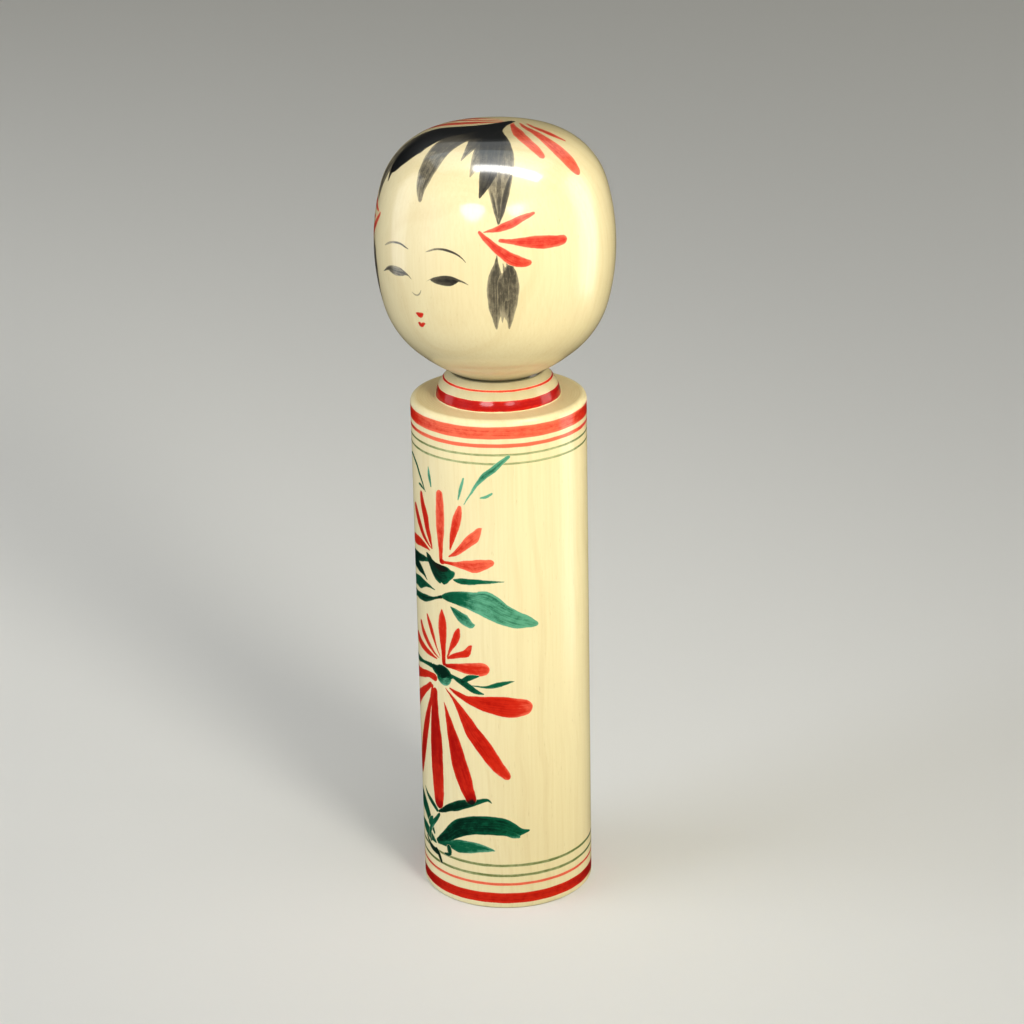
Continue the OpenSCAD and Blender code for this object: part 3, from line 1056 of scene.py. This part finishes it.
paint("eyebrows", on_cheek, EYEBROWS, head_black, HEAD_R)
paint("eyes", on_cheek, EYES, head_black, HEAD_R)
paint("nose", on_cheek, NOSE, head_black, HEAD_R)
paint("lips", on_cheek, LIPS, head_red, HEAD_R)

# ------------------------------
# Hair: a fringe that falls from a knot on the crown, and a tied lock over each ear

FRINGE_SIDE = [
    stroke((0.3, -6, 0.8), (0.8, -2, 2.4), (2.6, 2.8, 4.2), (5.4, 6, 5), (8, 8.4, 5.6), (11, 11.1, 6),
        (13.2, 13.2, 6.2), (15.4, 16, 6), (17.9, 19.4, 5.2), (20.5, 22.4, 3.2), (22.5, 25.2, 0.5),
        dark=(1.2, 1.2, 1, 0.4, 0.15, 0.1), dry=(0, 0.45)),
    stroke((15.9, 20.4, 0.3), (17.4, 21.5, 0.8), (19.8, 23.4, 0.9), (22.3, 25, 0.4), dark=(0.25, 0.45),
        layer=1),
    stroke((15, 16, 0.8), (18.6, 20.2, 1.2), (21.6, 24, 0.5), dark=(0.25, 0.3), layer=1),
    stroke((17.6, 14.6, 0.6), (19.5, 18.5, 1.5), (21.2, 21.8, 1.2), (22.4, 24.8, 0.4), dark=(0.4, 0.45),
        layer=1),
    stroke((5, 6, 4), (9, 11, 5.4), (12.4, 16, 4.6), (14.1, 20, 3), (15.1, 23.6, 0.5),
        dark=(1.1, 0.6, 0.8), layer=1),
    stroke((2, 2, 3), (5.5, 8, 5), (8.3, 13, 4.4), (9.6, 17.3, 2.8), (10.4, 20.9, 0.4),
        dark=(1.1, 0.7, 0.1), dry=(0, 0.3)),
    stroke((1, 0, 3), (3.5, 8, 4.5), (5.3, 13.5, 2.6), (6.1, 18.4, 0.3), dark=(1.1, 0.3), dry=(0, 0.35)),
]

FRINGE_MIDDLE = [
    stroke((0, -7.4, 1.6), (0, -3, 3.6), (0.3, 2, 7), (0, 7, 8.5), (-0.4, 12, 6.6), (-0.9, 17, 6),
        (-0.8, 21.3, 5.4), (-0.7, 25, 4.2), (-0.4, 27.9, 2.4), (0.2, 29.9, 1),
        dark=(1.2, 1.2, 0.6, 0.35, 0.3), layer=2, dry=(0, 0.2)),
    stroke((-1, 4, 3), (-5, 10.2, 5.4), (-8.8, 15.6, 7.2), (-12.3, 19, 6), (-14.8, 21.4, 3),
        dark=(1.2, 1), layer=2),
]

SIDE_LOCK = [
    stroke((40.8, 160.2, 0.25), (40.4, 158.2, 1.1), (40, 156.6, 2.4), (39.9, 154, 3.8), (39.9, 152, 4),
        (39.8, 148, 3.2), (39.7, 146.2, 2), (39.9, 143.2, 0.4), dark=(0.6, 0.35, 0.3, 0.35),
        dry=(0, 0.3)),
    stroke((46.4, 158, 1), (46.3, 156.4, 3), (46.2, 154, 4.2), (46.2, 152, 4.3), (46.2, 148.3, 3.2),
        (46.3, 146.3, 2), (46.1, 143.2, 0.4), dark=(0.6, 0.35, 0.3, 0.35), dry=(0.1, 0.3)),
    stroke((43.1, 156, 1.2), (43.1, 154, 2.4), (43.1, 150, 2.4), (42.9, 147.6, 1.4), (42.8, 144.8, 0.25),
        dark=(0.2, 0.15, 0.05), layer=1),
    stroke((44.6, 150, 1), (44.4, 147, 1.1), (44.3, 145.4, 0.2), dark=(0.2, 0.1), layer=2),
    stroke((43.3, 158.5, 0.2), (43.9, 157, 0.7), (44.5, 155, 1.2), dark=(0.4, 0.3), layer=2),
    stroke((45, 158.9, 0.2), (45.4, 157.3, 0.7), (45.8, 155, 1.4), dark=(0.4, 0.3), layer=2),
    stroke((46.5, 159.2, 0.25), (47.2, 157.8, 0.9), (47.6, 155.5, 1.6), dark=(0.6, 0.35), layer=1),
]

HAIR_RIBBONS = [
    stroke((34.5, 165, 0.25), (39.5, 165.4, 1.1), (44, 166, 1.7), (47.5, 166.5, 1.85), (51, 167.2, 1.7),
        (54.5, 167.8, 1.4), (57.5, 168.2, 1), (60, 168.5, 0.6), dark=(0.4, 0.3), dry=(0, 0.4)),
    stroke((41.5, 163.2, 0.9), (47.5, 162.9, 1.2), (51, 162.7, 1.8), (56, 162.5, 2.5), (60, 162.3, 2.9),
        (64.5, 162.1, 2.9), (68.5, 162, 2.6), (72, 162, 2.3), (75.6, 162.1, 1.8), dark=(0.4, 0.35)),
    stroke((32.2, 165.2, 0.8), (36, 163.4, 1.4), (39.5, 161.9, 1.8), (43, 160.6, 2.2), (46.5, 159.4, 2.6),
        (50, 158.6, 2.6), (53.5, 158.2, 2), (56.8, 158.1, 1), dark=(0.45, 0.35), dry=(0, 0.2)),
]

CROWN_RIBBONS = [
    stroke((0.3, -6.1, 0.8), (3.5, -2.9, 1.4), (6.6, -0.3, 2.4), (9.7, 2.3, 2.8), (13.1, 4, 2.8),
        (16.3, 4.7, 2.5), (19, 5.3, 1.6), dark=(0.4, 0.05), dry=(0, 0.3)),
    stroke((2.4, -6.5, 0.6), (5.7, -4.1, 1.2), (10.1, -2, 1.9), (13.9, -0.7, 2.9), (18, -0.4, 4.1),
        (22.1, -0.9, 4.2), (25.5, -1.5, 2.4), dark=(0.35, 0.1)),
    stroke((3.8, -7.1, 0.5), (7.7, -5.2, 1.2), (11.4, -4.4, 2), (14.3, -4.8, 1.6), (16.2, -5.9, 0.7),
        dark=(0.3, 0.4), dry=(0, 0.3)),
]

paint("crown_ribbons", on_crown, both_sides(CROWN_RIBBONS), head_red)
paint("fringe", on_crown, [*both_sides(FRINGE_SIDE), *FRINGE_MIDDLE], head_black)
paint("side_locks", on_cheek, both_sides(SIDE_LOCK), head_black, HEAD_R)
paint("hair_ribbons", on_cheek, raised(both_sides(HAIR_RIBBONS)), head_red, HEAD_R)

# ------------------------------
# Floor and light

FLOOR_SIZE = 4000
FLOOR_COLOUR = (0.80, 0.79, 0.76, 1)
FLOOR_ROUGH = 0.9


def make_floor():
    half = FLOOR_SIZE / 2 * MM
    corners = [(-half, -half, 0), (half, -half, 0), (half, half, 0), (-half, half, 0)]
    mesh = bpy.data.meshes.new("floor")
    mesh.from_pydata(corners, [], [(0, 1, 2, 3)])
    material = bpy.data.materials.new("floor")
    material.use_nodes = True
    shader = material.node_tree.nodes["Principled BSDF"]
    shader.inputs["Base Color"].default_value = FLOOR_COLOUR
    shader.inputs["Roughness"].default_value = FLOOR_ROUGH
    mesh.materials.append(material)
    floor = add_object("floor", mesh)
    floor.visible_glossy = False
    floor.visible_diffuse = False


AIM = Vector((0, 0, 160))
OVERHEAD = 0.8                      # a lamp that rises by more of its distance is overhead
ROUND_BELOW = 700                   # a lamp smaller than this is round
WARM = (1, 0.985, 0.92)


def make_light(name, place, size, glow, colour=(1, 1, 1), shows=True, lights=True, beam=180):
    """A flat lamp turned to the doll. place is how far it stands to the camera's right, towards
    the camera and up from AIM. size is (across, up), glow its brightness and beam the width of
    its cone. shows says if the varnish mirrors it, and lights if it lights the surfaces."""
    data = bpy.data.lights.new(name, "AREA")
    data.shape = "ELLIPSE" if max(size) < ROUND_BELOW else "RECTANGLE"
    data.size = size[0] * MM
    data.size_y = size[1] * MM
    area = size[0] * size[1] * MM * MM * (math.pi / 4 if data.shape == "ELLIPSE" else 1)
    data.energy = glow * math.pi * area
    data.color = colour
    data.spread = math.radians(beam)
    lamp = add_object(name, data)
    camera_side = Matrix.Rotation(VIEW_SIDE, 3, "Z")
    out = camera_side @ Vector((place[0], -place[1], place[2]))
    # An overhead lamp's own upright points away from the camera, a little askew.
    overhead = place[2] > OVERHEAD * out.length
    upright = camera_side @ Vector((0.2, 1, 0)) if overhead else Vector((0, 0, 1))
    across = upright.cross(out).normalized()
    turn = Matrix((across, out.cross(across).normalized(), out.normalized())).transposed()
    lamp.matrix_world = Matrix.Translation((AIM + out) * MM) @ turn.to_4x4()
    lamp.visible_glossy = shows
    lamp.visible_diffuse = lights


def make_world(colour, strength):
    """Even light from all round, which the varnish doesn't mirror."""
    world = bpy.data.worlds.new("studio")
    world.cycles_visibility.glossy = False
    bpy.context.scene.world = world
    world.use_nodes = True
    shade = world.node_tree.nodes["Background"]
    shade.inputs["Color"].default_value = colour
    shade.inputs["Strength"].default_value = strength


make_floor()
make_world((1.0, 0.985, 0.88, 1), 0.27)

# Lamps that light the surfaces and aren't mirrored in them
make_light("key", (350, 600, 250), (250, 250), 1.75, (1, 0.985, 0.9), shows=False, beam=40)
make_light("top key", (180, 330, 360), (380, 380), 1.9, WARM, shows=False)
make_light("front fill", (60, 520, 20), (300, 300), 0.25, WARM, shows=False, beam=60)
make_light("right fill", (1350, 400, 150), (1200, 1200), 1.9, WARM, shows=False)
make_light("left fill", (-1400, 330, 150), (1200, 1200), 3.8, (0.93, 1, 1.16), shows=False)
make_light("left beam", (-900, 500, 100), (600, 600), 0.2, (0.92, 1, 1.2), shows=False, beam=40)

# Lamps and pale walls that are only mirrored in the varnish
make_light("tube", (270, 245, 1270), (1300, 290), 26, (1, 0.99, 0.96), lights=False)
make_light("ceiling", (0, -240, 1290), (2000, 880), 2.0, (0.92, 1, 1), lights=False)
make_light("far ceiling", (0, -900, 1000), (2000, 520), 0.7, (0.97, 1, 0.98), lights=False)
make_light("left lamp", (-530, 1315, 490), (640, 420), 13, lights=False)
make_light("right lamp", (520, 1330, 480), (460, 300), 9, lights=False)
make_light("right window", (1290, -200, 60), (600, 1500), 3.6, (1, 0.98, 0.95), lights=False)
make_light("left window", (-1290, -300, 200), (520, 1400), 1.7, (0.95, 1, 1.05), lights=False)

bpy.context.scene.view_settings.view_transform = "Standard"
